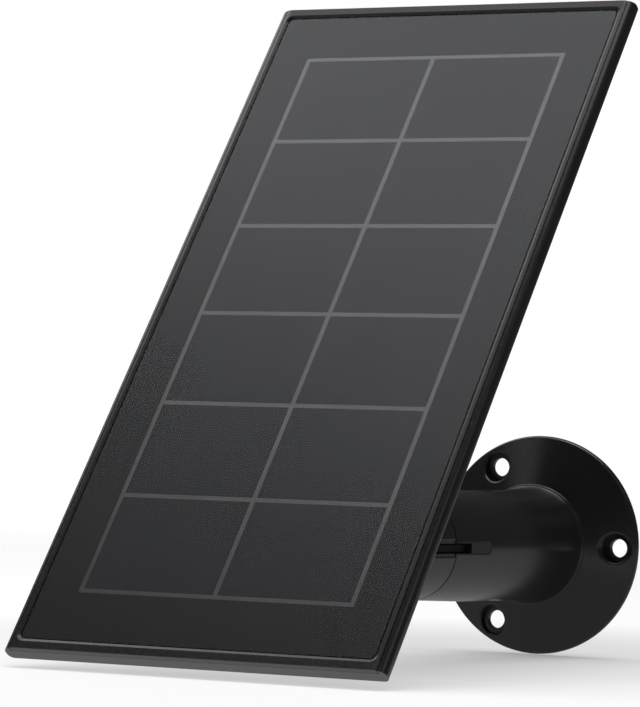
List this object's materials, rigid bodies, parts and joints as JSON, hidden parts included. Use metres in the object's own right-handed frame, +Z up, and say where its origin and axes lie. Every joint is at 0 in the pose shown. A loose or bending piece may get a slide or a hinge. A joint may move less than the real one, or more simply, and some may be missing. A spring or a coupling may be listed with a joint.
{
  "type": "solar panel charger",
  "caption": "Thin framed solar panel leaning back on a round wall flange, with a tubular arm that swivels and tilts.",
  "frame": {"origin": "middle of the flange's back face, on the wall", "axes": "+Y into the wall, the arm runs out along -Y; +Z up; +X to the right as seen from in front of the panel"},
  "size_m": [0.104, 0.1883, 0.1722],
  "materials": {
    "shell": "satin black moulding",
    "bezel": "satin black moulding",
    "cover_glass": "satin anti-glare",
    "cell": "dark cell",
    "mask": "black backing",
    "grid_line": "pale grey",
    "key": "black",
    "rubber": "matte black",
    "steel": "stainless",
    "brass": "turned",
    "board": "green solder resist",
    "component": "moulded black",
    "connector": "off-white"
  },
  "bodies": {
    "wall_arm": {"wall_pad": "rubber", "arm_body": "shell", "end_collar": "shell", "locking_key": "key", "swivel_washer": "steel", "swivel_seal": "rubber"},
    "knuckle": {"swivel_knuckle": "shell", "swivel_screw": "steel", "pivot_bolt": "steel", "pivot_nut": "steel"},
    "bracket": {"tilt_bracket": "shell", "friction_washer_right": "rubber", "friction_washer_left": "rubber", "mounting_stud": "steel"},
    "lock_ring": {"lock_ring": "shell"},
    "panel": {"rear_housing": "shell", "front_bezel": "bezel", "cover_glass": "cover_glass", "glass_seal": "rubber", "solar_cell_1_1": "cell", "solar_cell_1_2": "cell", "solar_cell_2_1": "cell", "solar_cell_2_2": "cell", "solar_cell_3_1": "cell", "solar_cell_3_2": "cell", "solar_cell_4_1": "cell", "solar_cell_4_2": "cell", "solar_cell_5_1": "cell", "solar_cell_5_2": "cell", "solar_cell_6_1": "cell", "solar_cell_6_2": "cell", "border_mask": "mask", "cell_board": "grid_line", "rear_pod": "shell", "pod_seal": "rubber", "pod_screw_1": "steel", "pod_screw_2": "steel", "pod_screw_3": "steel", "pod_screw_4": "steel", "threaded_insert": "brass", "cable_gland": "rubber", "charge_board": "board", "board_inductor": "component", "board_regulator": "component", "board_connector": "connector"}
  },
  "joints": [
    {"name": "head_swivel", "type": "hinge", "parent": "wall_arm", "child": "knuckle", "pos_m": [0, -0.0943, 0], "axis": [0, -1, 0], "range_deg": [-90, 90]},
    {"name": "tilt", "type": "hinge", "parent": "knuckle", "child": "bracket", "pos_m": [0, -0.1185, 0], "axis": [1, 0, 0], "range_deg": [-23, 36.8]},
    {"name": "lock_ring_turn", "type": "hinge", "parent": "bracket", "child": "lock_ring", "pos_m": [0, -0.13746, 0.01422], "axis": [0, -0.8, 0.6], "range_deg": [0, 180]},
    {"name": "panel_turn", "type": "hinge", "parent": "bracket", "child": "panel", "pos_m": [0, -0.1425, 0.018], "axis": [0, -0.8, 0.6], "range_deg": [-90, 90]}
  ]
}
